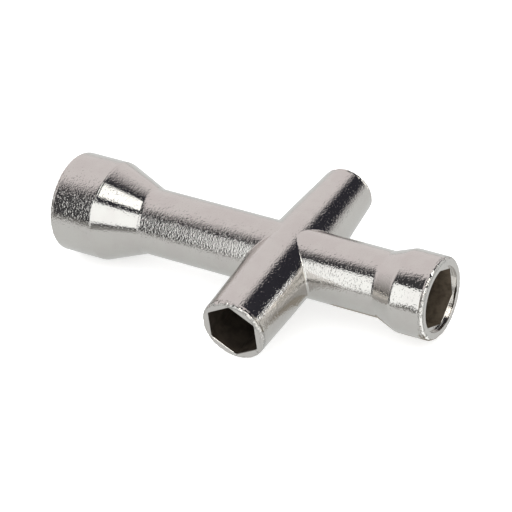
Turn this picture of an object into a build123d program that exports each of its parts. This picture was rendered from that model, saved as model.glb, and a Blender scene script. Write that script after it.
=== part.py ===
from build123d import *
import os
from math import radians, sqrt, tan

# Four-way cross socket wrench, rigid, for small hexagon nuts: 7, 5.5, 5 and 4 mm across flats.
#
# Frame (mm): the origin is where the two bar axes cross. +X runs along the long bar to the 5.5 mm
# socket and -X to the 7 mm socket. -Y runs along the cross bar to the 5 mm socket and +Y to the
# 4 mm socket. +Z is up. Every hexagon has a corner at +Z and one at -Z.
#
# Pieces: a turned cross bar that runs straight through, a turned arm coped against each side of
# it, a dowel that lines the two arms up, and a brazed seam around the foot of each arm.

# --- Long bar: its two arms ---
BAR_R = 3.37
LONG_REACH = 25.5         # origin to the mouth of the 7 mm socket
LONG_HEAD_R = 5.1
LONG_HEAD_LEN = 5.1
LONG_FLARE_LEN = 4.45     # the cone between the head and the bar
LONG_RIM_R = 0.6          # rounding of the outer edge of the mouth

SHORT_REACH = 16.5        # origin to the mouth of the 5.5 mm socket
SHORT_HEAD_R = 4.2
SHORT_HEAD_LEN = 3.6
SHORT_FLARE_LEN = 2.2
SHORT_RIM_R = 0.4

# --- Cross bar: thickest where the arms meet it, tapering to both mouths ---
CROSS_REACH = 11.8        # origin to each mouth
CROSS_R = 3.55
FRONT_R = 3.4             # at the mouth of the 5 mm socket
FRONT_RIM_R = 0.35
REAR_R = 2.75             # at the mouth of the 4 mm socket
REAR_RIM_R = 0.35

# --- Sockets: a broached hexagon, with a round relief bore behind it for the broach's chips ---
LONG_AF = 7.0             # across flats, of the nut
SHORT_AF = 5.5
FRONT_AF = 5.0
REAR_AF = 4.0
CLEARANCE_SHARE = 0.015   # a socket is this much larger than its nut, at the loose end of ISO 691
HEX_DEPTH_PER_AF = 0.8    # how deep the hexagon goes, as a share of its size
RELIEF_PER_AF = 0.4       # length of the relief bore, in the same way
RELIEF_SHRINK = 0.05      # the relief bore's radius is this much under half the across-flats size
DRILL_POINT_DEG = 118.0
CUP_SPARE = 0.1           # how far the round recess in a head's mouth reaches beyond the corners
CUP_DEPTH = 0.35
MOUTH_OVERRUN = 1.0       # the cutting shapes start this far outside the mouth

# --- Joint between the bars ---
DOWEL_R = 1.5
DOWEL_LEN = 11.0
DOWEL_CHAMFER = 0.3
DOWEL_HOLE_SPARE = 0.4    # each arm's hole is this much deeper than the dowel reaches
SEAM_R = 0.22             # radius of the hollow fillet that the filler metal leaves outside
GROOVE_WIDTH = 0.6        # the arm's end is cut back this far around its edge for the filler
GROOVE_DEPTH = 0.5

OUTWARD = {
    "long": (-1, 0, 0),
    "short": (1, 0, 0),
    "front": (0, -1, 0),
    "rear": (0, 1, 0),
}


def along(direction, distance=0.0):
    """Frame on a bar's axis, its Z pointing out of the mouth and its X pointing up."""
    unit = Vector(*OUTWARD[direction])
    return Plane(origin=unit * distance, x_dir=(0, 0, 1), z_dir=unit).location


def turned(direction, profile):
    """Lathe-turned solid from (distance from the origin, radius) points along one direction."""
    points = [(radius, distance) for distance, radius in profile]
    section = make_face(Plane.XZ * Polyline(*points, close=True))
    return along(direction) * revolve(section, Axis.Z)


def round_mouth(solid, direction, radius):
    """Round the outer edge of the solid's mouth in one direction."""
    outward = Axis((0, 0, 0), OUTWARD[direction])
    rim = solid.edges().filter_by(GeomType.CIRCLE).sort_by(outward)[-1]
    return fillet(rim, radius)


def socket_cavity(direction, reach, nut_size, cup_depth=None):
    """Everything that is cut out of one mouth: round recess, hexagon, relief bore, drill point."""
    across_flats = nut_size * (1 + CLEARANCE_SHARE)
    hex_depth = HEX_DEPTH_PER_AF * nut_size
    hexagon = RegularPolygon(across_flats / 2, 6, major_radius=False)
    cavity = extrude(Plane.XY.offset(-hex_depth) * hexagon, hex_depth + MOUTH_OVERRUN)

    relief_r = across_flats / 2 - RELIEF_SHRINK
    relief_end = hex_depth + RELIEF_PER_AF * nut_size
    point_end = relief_end + relief_r / tan(radians(DRILL_POINT_DEG / 2))
    bore = [(0, 0), (relief_r, 0), (relief_r, -relief_end), (0, -point_end)]
    cavity += revolve(make_face(Plane.XZ * Polyline(*bore, close=True)), Axis.Z)

    if cup_depth is not None:
        length = cup_depth + MOUTH_OVERRUN
        cup = Cylinder(across_flats / sqrt(3) + CUP_SPARE, length)
        cavity += Pos(0, 0, MOUTH_OVERRUN - length / 2) * cup
    return along(direction, reach) * cavity


def barrel(extra_r=0.0):
    """The cross bar's outer shape, with a smooth side, made larger all round by extra_r."""
    rear_rim = (REAR_R + extra_r, -CROSS_REACH)
    middle = (CROSS_R + extra_r, 0)
    front_rim = (FRONT_R + extra_r, CROSS_REACH)
    rear_slope = (CROSS_R - REAR_R, CROSS_REACH)
    front_slope = (FRONT_R - CROSS_R, CROSS_REACH)
    side = Spline(rear_rim, middle, front_rim, tangents=[rear_slope, front_slope])
    ends = Polyline(rear_rim, (0, -CROSS_REACH), (0, CROSS_REACH), front_rim)
    section = make_face(Plane.XZ * (side + ends))
    return along("front") * revolve(section, Axis.Z)


def cross_bar_blank():
    """The cross bar before its sockets and dowel hole are cut."""
    blank = round_mouth(barrel(), "front", FRONT_RIM_R)
    return round_mouth(blank, "rear", REAR_RIM_R)


def arm_blank(direction, reach, head_r, head_len, flare_len, rim_r):
    """One arm of the long bar, still reaching to the origin, before its socket is cut."""
    head_start = reach - head_len
    profile = [
        (0, 0),
        (0, BAR_R),
        (head_start - flare_len, BAR_R),
        (head_start, head_r),
        (reach, head_r),
        (reach, 0),
    ]
    return round_mouth(turned(direction, profile), direction, rim_r)


def pin(radius, length):
    """Cylinder along X, centred on the origin."""
    return Rotation(0, 90, 0) * Cylinder(radius, length)


def groove(direction, bar):
    """The ring around the foot of one arm that the filler metal takes up."""
    length = 2 * BAR_R
    outer = along(direction, length / 2) * Cylinder(BAR_R + 2 * SEAM_R, length)
    inner = along(direction, length / 2) * Cylinder(BAR_R - GROOVE_DEPTH, length)
    return (barrel(GROOVE_WIDTH) & (outer - inner)) - bar


def brazed_seam(arm, bar, ring):
    """Filler metal in the groove at the foot of one arm, with a hollow fillet outside."""
    joined = arm + bar
    filled = fillet(new_edges(arm, bar, combined=joined), SEAM_R)
    return filled & ring


def write(node, solid):
    export_step(solid, f"parts/{node}.step")


os.makedirs("parts", exist_ok=True)

cross_blank = cross_bar_blank()
long_blank = arm_blank("long", LONG_REACH, LONG_HEAD_R, LONG_HEAD_LEN, LONG_FLARE_LEN, LONG_RIM_R)
short_blank = arm_blank(
    "short", SHORT_REACH, SHORT_HEAD_R, SHORT_HEAD_LEN, SHORT_FLARE_LEN, SHORT_RIM_R
)
long_ring = groove("long", cross_blank)
short_ring = groove("short", cross_blank)
dowel_hole = pin(DOWEL_R, DOWEL_LEN + 2 * DOWEL_HOLE_SPARE)

front_socket = socket_cavity("front", CROSS_REACH, FRONT_AF)
rear_socket = socket_cavity("rear", CROSS_REACH, REAR_AF)
write("cross_bar", cross_blank - front_socket - rear_socket - dowel_hole)

long_socket = socket_cavity("long", LONG_REACH, LONG_AF, CUP_DEPTH)
write("long_arm", long_blank - cross_blank - long_ring - long_socket - dowel_hole)

short_socket = socket_cavity("short", SHORT_REACH, SHORT_AF, CUP_DEPTH)
write("short_arm", short_blank - cross_blank - short_ring - short_socket - dowel_hole)

dowel = pin(DOWEL_R, DOWEL_LEN)
write("dowel", chamfer(dowel.edges().filter_by(GeomType.CIRCLE), DOWEL_CHAMFER))

write("long_arm_seam", brazed_seam(long_blank, cross_blank, long_ring))
write("short_arm_seam", brazed_seam(short_blank, cross_blank, short_ring))
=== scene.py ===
from math import cos, hypot, inf, pi, radians, sin, sqrt, tan

import bmesh
import bpy
from mathutils import Matrix, Vector, noise


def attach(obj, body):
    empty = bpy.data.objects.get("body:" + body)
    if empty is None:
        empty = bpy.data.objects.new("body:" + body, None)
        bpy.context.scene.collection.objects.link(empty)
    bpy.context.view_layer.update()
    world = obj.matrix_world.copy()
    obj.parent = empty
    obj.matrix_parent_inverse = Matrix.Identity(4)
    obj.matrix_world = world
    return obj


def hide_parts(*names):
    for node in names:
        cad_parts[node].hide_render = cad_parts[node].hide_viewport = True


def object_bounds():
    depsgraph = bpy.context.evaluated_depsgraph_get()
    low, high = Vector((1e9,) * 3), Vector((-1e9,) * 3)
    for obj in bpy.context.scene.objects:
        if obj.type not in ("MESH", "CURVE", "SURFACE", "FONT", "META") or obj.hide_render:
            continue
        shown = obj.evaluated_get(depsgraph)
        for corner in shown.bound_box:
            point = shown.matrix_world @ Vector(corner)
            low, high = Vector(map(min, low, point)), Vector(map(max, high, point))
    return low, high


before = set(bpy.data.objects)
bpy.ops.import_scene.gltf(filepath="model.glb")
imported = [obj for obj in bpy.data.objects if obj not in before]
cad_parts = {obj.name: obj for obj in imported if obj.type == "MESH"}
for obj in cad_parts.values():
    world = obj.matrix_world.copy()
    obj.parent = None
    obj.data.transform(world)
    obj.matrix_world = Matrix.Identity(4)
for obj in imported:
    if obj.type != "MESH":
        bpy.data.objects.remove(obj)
cad_box = [list(corner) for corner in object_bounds()]

# Sizes are in millimetres until build_mesh() turns them into metres.
MM = 0.001

# --- The wrench's own sizes, as in its CAD model ---
BAR_R = 3.37
LONG_ARM = dict(reach=25.5, head_r=5.1, head_len=5.1, flare_len=4.45, rim_r=0.6, nut=7.0)
SHORT_ARM = dict(reach=16.5, head_r=4.2, head_len=3.6, flare_len=2.2, rim_r=0.4, nut=5.5)
CROSS_REACH = 11.8
CROSS_R = 3.55
FRONT_R, FRONT_RIM_R, FRONT_NUT = 3.4, 0.35, 5.0
REAR_R, REAR_RIM_R, REAR_NUT = 2.75, 0.35, 4.0
CLEARANCE_SHARE = 0.015
HEX_DEPTH_PER_AF = 0.8
RELIEF_PER_AF = 0.4
RELIEF_SHRINK = 0.05
DRILL_POINT_DEG = 118.0
CUP_SPARE = 0.1           # a head's round recess is this much wider than the hexagon's corners
CUP_DEPTH = 0.35
SEAM_R = 0.22             # the hollow fillet of filler metal around an arm's foot
SEAM_DEPTH = 0.4          # how far the filler goes in under it

# --- What tumbling and plating leave of the sharp edges ---
EDGE_R = 0.06             # at the outer edge of a head's recess
CUP_CORNER_R = 0.04       # at the foot of the recess and where the hexagon starts
LIP_R = 0.1               # at the mouth of a plain socket
CREASE_R = 1.3            # between the bar, the cone and the head
CORNER_CUT = 0.06         # how much the broach rounds the hexagon's corners off
DENT_DEPTH = 0.08         # the deepest knock on the rim of a mouth
DENT_SIZE = 0.45          # how far apart the knocks are
WEAR_REACH = 0.45         # how far from a mouth's outer edge the knocks go
WEAR_GAIN = 1.8           # above 1, the wear is full for some way before it fades

# How strong the plate's grain is on the bar, the cone and the head of each arm.
LONG_ARM_GRAIN = (1.0, 0.4, 0.9)
SHORT_ARM_GRAIN = (0.65, 0.4, 0.45)

SIDES = 240               # columns around each bar, a multiple of 12
ARC_STEPS = 6             # steps in each rounding
BARREL_ROWS = 48          # rows along the cross bar
GUARD = 0.015             # rows this close to each rounding keep its shading off the flats
SOCKET_STRIPS = 4         # strips of faces inside a socket, from the drill point to the lip
SHARP_ANGLE = 32          # in degrees, above which shading shows an edge
FOOT_SHARES = (0.25, 0.5, 0.75, 0.9, 0.96)   # rows of an arm's coped foot, as shares of its radius


# ---------------------------------------------------------------- lines and meshes

def rounded(points, radii):
    """A line through (along, radius) points, with an arc of the given radius at each of them."""
    line = []
    for index, (point, radius) in enumerate(zip(points, radii)):
        if radius == 0:
            line.append(point)
            continue
        here = Vector(point)
        back = (Vector(points[index - 1]) - here).normalized()
        ahead = (Vector(points[index + 1]) - here).normalized()
        half_turn = back.angle(ahead) / 2
        run = radius / tan(half_turn)
        centre = here + (back + ahead).normalized() * (radius / sin(half_turn))
        first = here + back * run - centre
        last = here + ahead * run - centre
        line.append(tuple(here + back * (run + GUARD)))
        for step in range(ARC_STEPS + 1):
            line.append(tuple(centre + first.lerp(last, step / ARC_STEPS).normalized() * radius))
        line.append(tuple(here + ahead * (run + GUARD)))
    return line


def column_angles():
    return [2 * pi * column / SIDES for column in range(SIDES)]


def wear_at(distance, radius, rims):
    """How worn the surface is, 0 to 1, from how near it is to a mouth's outer edge."""
    nearest = min(hypot(distance - along, radius - rim_r) for along, rim_r in rims)
    return max(0.0, min(1.0, WEAR_GAIN * (1 - nearest / WEAR_REACH)))


def build_mesh(name, lines, outward, sideways, rims, socket_ends, grain_zones=((inf, 1.0),)):
    """A closed skin from one (along, radius) line per angle. Each line starts and ends on the axis.

    Angle 0 is straight up, and the angle grows towards sideways. The rims at the mouths get
    knocks. grain_zones are (far end, strength of the grain) pairs, from the inside out.
    socket_ends says at which ends of the lines a socket's inside takes material 1.
    """
    outward, sideways, up = Vector(outward), Vector(sideways), Vector((0, 0, 1))
    rows = len(lines[0])
    points, wear, grain = [], [], []
    for row in range(1, rows - 1):
        for angle, line in zip(column_angles(), lines):
            distance, radius = line[row]
            worn = wear_at(distance, radius, rims)
            spoke = up * cos(angle) + sideways * sin(angle)
            point = outward * distance + spoke * radius
            if worn:
                knock = abs(noise.noise(point / DENT_SIZE)) * DENT_DEPTH * worn
                point -= spoke * knock + outward * (knock if distance > 0 else -knock)
            points.append(point * MM)
            wear.append(worn)
            grain.append(next(strength for end, strength in grain_zones if distance < end))
    first_pole, last_pole = len(points), len(points) + 1
    points.append(outward * lines[0][0][0] * MM)
    points.append(outward * lines[0][-1][0] * MM)
    wear += [0.0, 0.0]
    grain += [1.0, 1.0]

    faces, finishes = [], []
    top = rows - 3
    for row in range(top):
        at_start = "start" in socket_ends and row < SOCKET_STRIPS
        at_end = "end" in socket_ends and row >= top - SOCKET_STRIPS
        for column in range(SIDES):
            beside = (column + 1) % SIDES
            low, high = row * SIDES, (row + 1) * SIDES
            faces.append((low + column, low + beside, high + beside, high + column))
            finishes.append(int(at_start or at_end))
    for column in range(SIDES):
        beside = (column + 1) % SIDES
        faces.append((first_pole, beside, column))
        faces.append((last_pole, top * SIDES + column, top * SIDES + beside))
        finishes += [int("start" in socket_ends), int("end" in socket_ends)]
    return add_piece(name, points, faces, finishes, wear, grain)


def add_piece(name, points, faces, finishes=None, wear=None, grain=None):
    """A smooth-shaded object. Its points carry how worn they are and how strong the grain is."""
    mesh = bpy.data.meshes.new(name)
    mesh.from_pydata([tuple(point) for point in points], [], faces)
    if finishes is not None:
        mesh.polygons.foreach_set("material_index", finishes)
    attributes = (("wear", wear or [0.0] * len(points)), ("grain", grain or [1.0] * len(points)))
    for attribute, values in attributes:
        mesh.attributes.new(attribute, "FLOAT", "POINT").data.foreach_set("value", values)
    face_outward(mesh)
    mesh.shade_smooth()
    mesh.set_sharp_from_angle(angle=radians(SHARP_ANGLE))
    piece = bpy.data.objects.new(name, mesh)
    bpy.context.scene.collection.objects.link(piece)
    return piece


def face_outward(mesh):
    """Turn every face the right way out."""
    work = bmesh.new()
    work.from_mesh(mesh)
    bmesh.ops.recalc_face_normals(work, faces=work.faces)
    work.to_mesh(mesh)
    work.free()


# ---------------------------------------------------------------- the wrench's shapes

def barrel_radius(front_distance):
    """The cross bar's radius, thickest near the middle, at a distance towards the front mouth."""
    share = abs(front_distance) / CROSS_REACH
    end_r = FRONT_R if front_distance > 0 else REAR_R
    end_slope = FRONT_R - CROSS_R if front_distance > 0 else REAR_R - CROSS_R
    middle_slope = MIDDLE_SLOPE if front_distance > 0 else -MIDDLE_SLOPE
    s2, s3 = share ** 2, share ** 3
    return (
        CROSS_R * (2 * s3 - 3 * s2 + 1)
        + end_r * (3 * s2 - 2 * s3)
        + middle_slope * (s3 - 2 * s2 + share)
        + end_slope * (s3 - s2)
    )


# Slope at the middle, per CROSS_REACH, that makes both halves bend equally there.
MIDDLE_SLOPE = (3 * (FRONT_R - REAR_R) - (CROSS_R - REAR_R) - (FRONT_R - CROSS_R)) / 4


def wall_radius(across_flats, angle):
    """Distance from the axis to a socket's wall. Corners are straight up and every 60 degrees."""
    to_flat = (angle % (pi / 3)) - pi / 6
    return min(across_flats / 2 / cos(to_flat), across_flats / sqrt(3) - CORNER_CUT)


def socket_line(reach, nut, angle, cup_depth=None):
    """(along, radius) points and their roundings, from the mouth's face in to the drill point."""
    across_flats = nut * (1 + CLEARANCE_SHARE)
    wall = wall_radius(across_flats, angle)
    relief_r = across_flats / 2 - RELIEF_SHRINK
    hex_end = reach - HEX_DEPTH_PER_AF * nut
    relief_end = hex_end - RELIEF_PER_AF * nut
    point_end = relief_end - relief_r / tan(radians(DRILL_POINT_DEG / 2))
    points, radii = [(reach, wall)], [LIP_R]
    if cup_depth is not None:
        cup_r = across_flats / sqrt(3) + CUP_SPARE
        floor = reach - cup_depth
        points = [(reach, cup_r), (floor, cup_r), (floor, wall)]
        radii = [EDGE_R, CUP_CORNER_R, CUP_CORNER_R]
    points += [(hex_end, wall), (hex_end, relief_r), (relief_end, relief_r), (point_end, 0)]
    return points, radii + [0, 0, 0, 0]


def saddle(across, height):
    """How far out from the crossing the cross bar's surface is, across the arm and up."""
    return sqrt(barrel_radius(-across) ** 2 - height ** 2)


def make_arm(name, outward, grain, reach, head_r, head_len, flare_len, rim_r, nut):
    """One arm of the long bar: coped foot, bar, cone, head and socket."""
    head_start = reach - head_len
    lines = []
    for angle in column_angles():
        foot = [(saddle(0, 0), 0)]
        for share in FOOT_SHARES:
            radius = BAR_R * share
            foot.append((saddle(radius * sin(angle), radius * cos(angle)), radius))
        start = saddle(BAR_R * sin(angle), BAR_R * cos(angle))
        socket_points, socket_radii = socket_line(reach, nut, angle, CUP_DEPTH)
        points = foot + [
            (start, BAR_R),
            (head_start - flare_len, BAR_R),
            (head_start, head_r),
            (reach, head_r),
        ]
        radii = [0] * (len(foot) + 1) + [CREASE_R, CREASE_R, rim_r]
        lines.append(rounded(points + socket_points, radii + socket_radii))
    zones = list(zip((head_start - flare_len, head_start, inf), grain))
    return build_mesh(name, lines, outward, (0, 1, 0), [(reach, head_r)], ["end"], zones)


def make_cross_bar():
    """The cross bar: a socket at each end of one smooth barrel."""
    lines = []
    for angle in column_angles():
        rear_points, rear_radii = socket_line(CROSS_REACH, REAR_NUT, angle)
        front_points, front_radii = socket_line(CROSS_REACH, FRONT_NUT, angle)
        side_points = []
        for row in range(1, BARREL_ROWS):
            distance = CROSS_REACH * (2 * row / BARREL_ROWS - 1)
            side_points.append((distance, barrel_radius(distance)))
        points = (
            [(-distance, radius) for distance, radius in reversed(rear_points)]
            + [(-CROSS_REACH, REAR_R)] + side_points + [(CROSS_REACH, FRONT_R)]
            + front_points
        )
        radii = (
            list(reversed(rear_radii))
            + [REAR_RIM_R] + [0] * len(side_points) + [FRONT_RIM_R]
            + front_radii
        )
        lines.append(rounded(points, radii))
    rims = [(-CROSS_REACH, REAR_R), (CROSS_REACH, FRONT_R)]
    return build_mesh("cross_bar_body", lines, (0, -1, 0), (1, 0, 0), rims, ["start", "end"])


def make_seam(name, side):
    """Filler metal around the foot of one arm: a hollow fillet outside, a wedge inside."""
    rows = ARC_STEPS + 2
    points = []
    for angle in column_angles():
        arm_normal = Vector((0, sin(angle), cos(angle)))
        centre = arm_normal * (BAR_R + SEAM_R)
        centre.x = sqrt((barrel_radius(-centre.y) + SEAM_R) ** 2 - centre.z ** 2)
        bar_normal = Vector((centre.x, 0, centre.z)).normalized()
        for step in range(ARC_STEPS + 1):
            towards = arm_normal.slerp(bar_normal, step / ARC_STEPS)
            points.append(centre - towards * SEAM_R)
        inwards = (arm_normal + bar_normal).normalized()
        points.append(centre - inwards * (SEAM_R + SEAM_DEPTH))
    points = [Vector((point.x * side, point.y, point.z)) * MM for point in points]
    faces = []
    for column in range(SIDES):
        here, beside = column * rows, (column + 1) % SIDES * rows
        for row in range(rows):
            above = (row + 1) % rows
            faces.append((here + row, beside + row, beside + above, here + above))
    return add_piece(name, points, faces)


# ---------------------------------------------------------------- node helpers

def new_material(name):
    """A material with an empty Principled shader, its nodes, its links and the shader."""
    material = bpy.data.materials.new(name)
    material.use_nodes = True
    nodes, links = material.node_tree.nodes, material.node_tree.links
    return material, nodes, links, nodes["Principled BSDF"]


def stretched_noise(nodes, links, grain, detail, roughness, distortion=0.0):
    """Noise whose features have the given size in millimetres along each axis."""
    place = nodes.new("ShaderNodeTexCoord")
    stretch = nodes.new("ShaderNodeMapping")
    stretch.inputs["Scale"].default_value = [1 / (size * MM) for size in grain]
    texture = nodes.new("ShaderNodeTexNoise")
    texture.inputs["Scale"].default_value = 1.0
    texture.inputs["Detail"].default_value = detail
    texture.inputs["Roughness"].default_value = roughness
    texture.inputs["Distortion"].default_value = distortion
    links.new(place.outputs["Object"], stretch.inputs["Vector"])
    links.new(stretch.outputs["Vector"], texture.inputs["Vector"])
    return texture.outputs["Fac"]


def remap(nodes, links, value, low, high, new_low, new_high):
    """value with low..high turned smoothly into new_low..new_high."""
    node = nodes.new("ShaderNodeMapRange")
    node.interpolation_type = "SMOOTHSTEP"
    node.inputs["From Min"].default_value = low
    node.inputs["From Max"].default_value = high
    node.inputs["To Min"].default_value = new_low
    node.inputs["To Max"].default_value = new_high
    links.new(value, node.inputs["Value"])
    return node.outputs["Result"]


def maths(nodes, links, operation, first, second):
    """One Math node. Each operand is a number or another node's output."""
    node = nodes.new("ShaderNodeMath")
    node.operation = operation
    for socket, operand in zip(node.inputs, (first, second)):
        if isinstance(operand, (int, float)):
            socket.default_value = operand
        else:
            links.new(operand, socket)
    return node.outputs["Value"]


def colour_mix(nodes, links, factor, first, second):
    """A mix of two colours. Each is an (r, g, b) triple or another node's output."""
    node = nodes.new("ShaderNodeMix")
    node.data_type = "RGBA"
    links.new(factor, node.inputs["Factor"])
    for socket, colour in ((node.inputs[6], first), (node.inputs[7], second)):
        if isinstance(colour, tuple):
            socket.default_value = (*colour, 1)
        else:
            links.new(colour, socket)
    return node.outputs[2]


def add_bump(nodes, links, height, depth, below=None):
    """A Bump node whose height of 1 is depth millimetres, on top of another one."""
    bump = nodes.new("ShaderNodeBump")
    bump.inputs["Distance"].default_value = depth * MM
    links.new(height, bump.inputs["Height"])
    if below is not None:
        links.new(below, bump.inputs["Normal"])
    return bump.outputs["Normal"]


# ---------------------------------------------------------------- finishes

# Depths of the marks under the plate, in millimetres.
STROKE_DEPTH = 0.009      # of the grinding
SPECK_DEPTH = 0.017       # of the plate's own roughness
KNOCK_DEPTH = 0.3         # of the tumbling, at the worn rims only
BROACH_DEPTH = 0.012      # of the lines inside a socket

NICKEL_DARK, NICKEL_LIGHT = (0.59, 0.562, 0.54), (0.61, 0.588, 0.562)
NICKEL_ROUGHNESS = (0.08, 0.12)
SOCKET_ROUGHNESS = (0.5, 0.35)
SOCKET_METALLIC = 0.25


def nickel(name, grain, pit_depth):
    """Dull nickel plate over a surface ground around the bar. grain is the size of its strokes."""
    material, nodes, links, shader = new_material(name)
    strokes = stretched_noise(nodes, links, grain, 2.0, 0.5, distortion=0.4)
    specks = stretched_noise(nodes, links, (0.15, 0.15, 0.15), 1.0, 0.5)
    pits = stretched_noise(nodes, links, (0.2, 0.26, 0.26), 1.0, 0.5)
    pits = remap(nodes, links, pits, 0.55, 0.72, 1, 0)
    knocks = stretched_noise(nodes, links, (0.5, 0.5, 0.5), 1.0, 0.5)
    bump = None
    for height, depth, attribute in (
        (strokes, STROKE_DEPTH, "grain"),
        (specks, SPECK_DEPTH, "grain"),
        (pits, pit_depth, "grain"),
        (knocks, KNOCK_DEPTH, "wear"),
    ):
        strength = nodes.new("ShaderNodeAttribute")
        strength.attribute_name = attribute
        height = maths(nodes, links, "MULTIPLY", height, strength.outputs["Fac"])
        bump = add_bump(nodes, links, height, depth, bump)
    links.new(bump, shader.inputs["Normal"])
    shader.inputs["Metallic"].default_value = 1.0
    cloud = stretched_noise(nodes, links, (2.0, 2.0, 2.0), 3.0, 0.55)
    cloudy = remap(nodes, links, cloud, 0.35, 0.65, 0, 1)
    colour = colour_mix(nodes, links, cloudy, NICKEL_DARK, NICKEL_LIGHT)
    links.new(colour, shader.inputs["Base Color"])
    links.new(remap(nodes, links, cloud, 0.3, 0.7, *NICKEL_ROUGHNESS), shader.inputs["Roughness"])
    return material


def dark_socket_inside(name, axis, dark, light):
    """The broached inside of a socket: dark, with lines along it, in tones given per socket."""
    material, nodes, links, shader = new_material(name)
    grain = (3.0, 0.12, 0.12) if axis == "x" else (0.12, 3.0, 0.12)
    lines = stretched_noise(nodes, links, grain, 2.0, 0.6)
    links.new(add_bump(nodes, links, lines, BROACH_DEPTH), shader.inputs["Normal"])
    cloud = stretched_noise(nodes, links, (0.9, 0.9, 0.9), 4.0, 0.6)
    cloudy = remap(nodes, links, cloud, 0.35, 0.65, 0, 1)
    colour = colour_mix(nodes, links, cloudy, dark, light)
    links.new(colour, shader.inputs["Base Color"])
    shader.inputs["Metallic"].default_value = SOCKET_METALLIC
    links.new(remap(nodes, links, cloud, 0.3, 0.7, *SOCKET_ROUGHNESS), shader.inputs["Roughness"])
    return material


# ---------------------------------------------------------------- studio

CAMERA_AZIMUTH = 35.13
CAMERA_ELEVATION = 38.63
CAMERA_ROLL = -8.38
CAMERA_DISTANCE = 272.8
CAMERA_AIM = (-3.12, -1.61, 0.60)
CAMERA_LENS = 195.1

FLOOR_Z = cad_box[0][2] / MM
FLOOR_REACH = 1500
FLOOR_GLOW = 0.4          # keeps the floor nearly white beside the wrench
SHEET_LIFT = 0.01         # between the floor, the table and the shade on it
MATT = 0.9                # roughness of the floor and the table

# The table ends in front of the wrench, nearer on the right.
TABLE_CORNERS = [(-250, -40), (26, -40), (26, -12), (300, -12), (300, 300), (-250, 300)]
TABLE_GREY = (0.20, 0.20, 0.20, 1)
TABLE_GLOW = 0.55
TABLE_GLOW_COLOUR = (0.97, 1.0, 0.99, 1)

WHITE_LIGHT = (1.35, 1.35, 1.35)
CEILING = (0.92, 0.875, 0.88)
# The ceiling's front edge runs slantwise: it is where y - 1.03 x - 0.31 z is about 0.
SLANT_X, SLANT_Z = 1.03, 0.31

# Patches of the studio that reflections show, each over the ones before. An edge says from where
# to where, along one axis of the direction, the patch fades in.
PATCHES = (
    # Low at the front, where the room is dim.
    ((0.24, 0.235, 0.22), ("y", 0.1, -0.1), ("z", 0.6, 0.0)),
    # The dark in front of the ceiling.
    ((0.055, 0.055, 0.06), ("slant", 0.18, -0.16)),
    # The dark on the right.
    ((0.03, 0.03, 0.04), ("x", -0.05, 0.17), ("z", 0.04, 0.26)),
    # A pale wall low at the back, on the right.
    ((0.78, 0.79, 0.78), ("x", 0.0, 0.3), ("y", 0.0, 0.2), ("z", 0.20, 0.02)),
    # A bright panel overhead.
    (
        (2.0, 2.04, 2.0),
        ("x", 0.08, 0.16), ("y", -0.44, -0.41), ("y", 0.13, 0.08), ("z", 0.55, 0.65),
    ),
    # A much brighter lamp in it.
    (
        (6.5, 6.4, 6.0),
        ("x", 0.38, 0.43), ("x", 0.60, 0.52), ("y", -0.40, -0.36), ("y", 0.13, 0.08),
        ("z", 0.55, 0.65),
    ),
    # The dim front on the right.
    ((0.22, 0.21, 0.17), ("x", 0.5, 0.6), ("y", 0.05, -0.1), ("z", 0.5, 0.4)),
    # Below the horizon, past the table.
    ((0.30, 0.30, 0.29), ("z", 0.02, -0.03)),
    # A bright wall far to the right.
    ((1.5, 1.5, 1.42), ("x", 0.78, 0.84), ("y", 0.3, 0.2), ("z", -0.1, 0.0)),
)


def level(corners, height):
    """(x, y) corners at one height."""
    return [(x, y, height) for x, y in corners]


COOL_WHITE = (0.97, 1.0, 1.0)
WARM_GREY = (1.0, 0.93, 0.80)
# A big card in front of the wrench, with a slanting left edge.
FRONT_CARD = [
    (-70, -150, -16), (-58, -150, -16), (-40, -150, 15),
    (200, -150, 15), (200, -150, 152), (-123, -150, 200),
]
# A narrow one behind it, on the right.
SIDE_CARD = [(42, 36, 11.5), (54, 22, 11.5), (54, 22, 15.5), (42, 36, 15.5)]
# One that lies just above the table, in front of the short arm's mouth.
LOW_CARD = level([(17.5, -30), (40, -30), (40, -1), (17.5, -1)], -5.05)
# The table is darker under the short arm and just in front of its head.
ARM_SHADE = level(
    [(4, -2), (14.6, -2), (14.6, -8), (16.5, -8), (16.5, 4), (4, 4)],
    FLOOR_Z + 2 * SHEET_LIFT,
)
# Name, corners, brightness and colour.
CARDS = (
    ("front_card", FRONT_CARD, 1.55, COOL_WHITE),
    ("side_card", SIDE_CARD, 2.8, COOL_WHITE),
    ("low_card", LOW_CARD, 1.6, COOL_WHITE),
    ("arm_shade", ARM_SHADE, 0.36, WARM_GREY),
)


def make_camera():
    azimuth, elevation = radians(CAMERA_AZIMUTH), radians(CAMERA_ELEVATION)
    back = Vector((
        sin(azimuth) * cos(elevation),
        -cos(azimuth) * cos(elevation),
        sin(elevation),
    ))
    camera_data = bpy.data.cameras.new("camera")
    camera_data.sensor_width = 36
    camera_data.lens = CAMERA_LENS
    camera_data.clip_start = 0.001
    camera_data.clip_end = 10
    camera = bpy.data.objects.new("camera", camera_data)
    place = Matrix.Translation(Vector(CAMERA_AIM) * MM + back * (CAMERA_DISTANCE * MM))
    turn = back.to_track_quat("Z", "Y").to_matrix().to_4x4()
    roll = Matrix.Rotation(radians(CAMERA_ROLL), 4, "Z")
    camera.matrix_world = place @ turn @ roll
    bpy.context.scene.collection.objects.link(camera)
    bpy.context.scene.camera = camera


def make_sheet(name, corners, material):
    mesh = bpy.data.meshes.new(name)
    points = [tuple(Vector(corner) * MM) for corner in corners]
    mesh.from_pydata(points, [], [tuple(range(len(points)))])
    mesh.materials.append(material)
    sheet = bpy.data.objects.new(name, mesh)
    bpy.context.scene.collection.objects.link(sheet)
    return sheet


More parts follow.
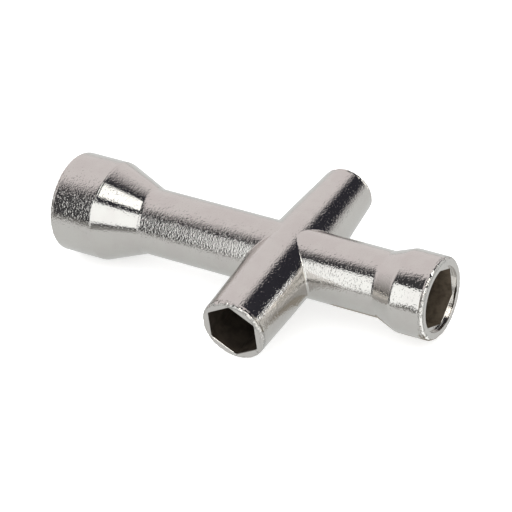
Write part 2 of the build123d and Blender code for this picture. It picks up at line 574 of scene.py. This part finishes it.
def only_in_reflections(sheet):
    sheet.visible_camera = False
    sheet.visible_diffuse = False
    sheet.visible_shadow = False


def make_floor():
    material, nodes, links, shader = new_material("floor")
    shader.inputs["Base Color"].default_value = (0.93, 0.93, 0.93, 1)
    shader.inputs["Emission Color"].default_value = (1, 1, 1, 1)
    shader.inputs["Emission Strength"].default_value = FLOOR_GLOW
    shader.inputs["Roughness"].default_value = MATT
    low, high = -FLOOR_REACH, FLOOR_REACH
    corners = level([(low, low), (high, low), (high, high), (low, high)], FLOOR_Z)
    floor = make_sheet("floor", corners, material)
    floor.visible_glossy = False


def make_table():
    """What reflections see of the floor: a greyer sheet with an edge in front of the wrench."""
    material, nodes, links, shader = new_material("table")
    shader.inputs["Base Color"].default_value = TABLE_GREY
    shader.inputs["Emission Color"].default_value = TABLE_GLOW_COLOUR
    shader.inputs["Emission Strength"].default_value = TABLE_GLOW
    shader.inputs["Roughness"].default_value = MATT
    shader.inputs["Specular IOR Level"].default_value = 0.0
    only_in_reflections(make_sheet("table", level(TABLE_CORNERS, FLOOR_Z + SHEET_LIFT), material))


def make_world():
    """Even white light for the floor and the eye. Reflections show a studio with dark gaps."""
    world = bpy.data.worlds.new("studio")
    world.use_nodes = True
    bpy.context.scene.world = world
    nodes, links = world.node_tree.nodes, world.node_tree.links
    place = nodes.new("ShaderNodeTexCoord")
    split = nodes.new("ShaderNodeSeparateXYZ")
    links.new(place.outputs["Generated"], split.inputs["Vector"])
    x, y, z = split.outputs
    slant = maths(nodes, links, "SUBTRACT", y, maths(nodes, links, "MULTIPLY", x, SLANT_X))
    slant = maths(nodes, links, "SUBTRACT", slant, maths(nodes, links, "MULTIPLY", z, SLANT_Z))
    axes = {"x": x, "y": y, "z": z, "slant": slant}

    studio = CEILING
    for colour, *edges in PATCHES:
        where = 1.0
        for axis, start, end in edges:
            if start < end:
                edge = remap(nodes, links, axes[axis], start, end, 0, 1)
            else:
                edge = remap(nodes, links, axes[axis], end, start, 1, 0)
            where = maths(nodes, links, "MULTIPLY", where, edge)
        studio = colour_mix(nodes, links, where, studio, colour)

    path = nodes.new("ShaderNodeLightPath")
    seen = colour_mix(nodes, links, path.outputs["Is Glossy Ray"], WHITE_LIGHT, studio)
    links.new(seen, nodes["Background"].inputs["Color"])


def make_card(name, corners, strength, colour):
    """A card beside the wrench, or a patch on the table, which only its reflections show."""
    material = bpy.data.materials.new(name + "_light")
    material.use_nodes = True
    nodes, links = material.node_tree.nodes, material.node_tree.links
    nodes.clear()
    glow = nodes.new("ShaderNodeEmission")
    glow.inputs["Color"].default_value = (*colour, 1)
    glow.inputs["Strength"].default_value = strength
    links.new(glow.outputs["Emission"], nodes.new("ShaderNodeOutputMaterial").inputs["Surface"])
    only_in_reflections(make_sheet(name, corners, material))


# ---------------------------------------------------------------- assembly

def dress(piece, node, materials):
    """piece stands for the CAD node, moves with it, and takes the finishes."""
    for material in materials:
        piece.data.materials.append(material)
    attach(piece, "root")
    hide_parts(node)


plate_x = nickel("nickel_plate_long_bar", (0.17, 0.6, 0.6), pit_depth=0.012)
plate_y = nickel("nickel_plate_cross_bar", (0.6, 0.17, 0.6), pit_depth=0.008)
# Painted light and shade: the long bar's socket inside is lighter, the cross bar's darker.
socket_inside_painted_light = dark_socket_inside(
    "socket_inside_long_bar_painted_light", "x", dark=(0.08, 0.062, 0.042), light=(0.15, 0.12, 0.088),
)
socket_inside_painted_shade = dark_socket_inside(
    "socket_inside_cross_bar_painted_shade", "y", dark=(0.028, 0.021, 0.015), light=(0.055, 0.044, 0.033),
)
long_arm = make_arm("long_arm_body", (-1, 0, 0), LONG_ARM_GRAIN, **LONG_ARM)
short_arm = make_arm("short_arm_body", (1, 0, 0), SHORT_ARM_GRAIN, **SHORT_ARM)
dress(make_cross_bar(), "cross_bar", [plate_y, socket_inside_painted_shade])
dress(long_arm, "long_arm", [plate_x, socket_inside_painted_light])
dress(short_arm, "short_arm", [plate_x, socket_inside_painted_light])
dress(make_seam("long_arm_braze", -1), "long_arm_seam", [plate_x])
dress(make_seam("short_arm_braze", 1), "short_arm_seam", [plate_x])
for material_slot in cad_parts["dowel"].material_slots:
    material_slot.material = socket_inside_painted_light

make_camera()
make_floor()
make_table()
make_world()
for card in CARDS:
    make_card(*card)

bpy.context.scene.view_settings.view_transform = "Standard"
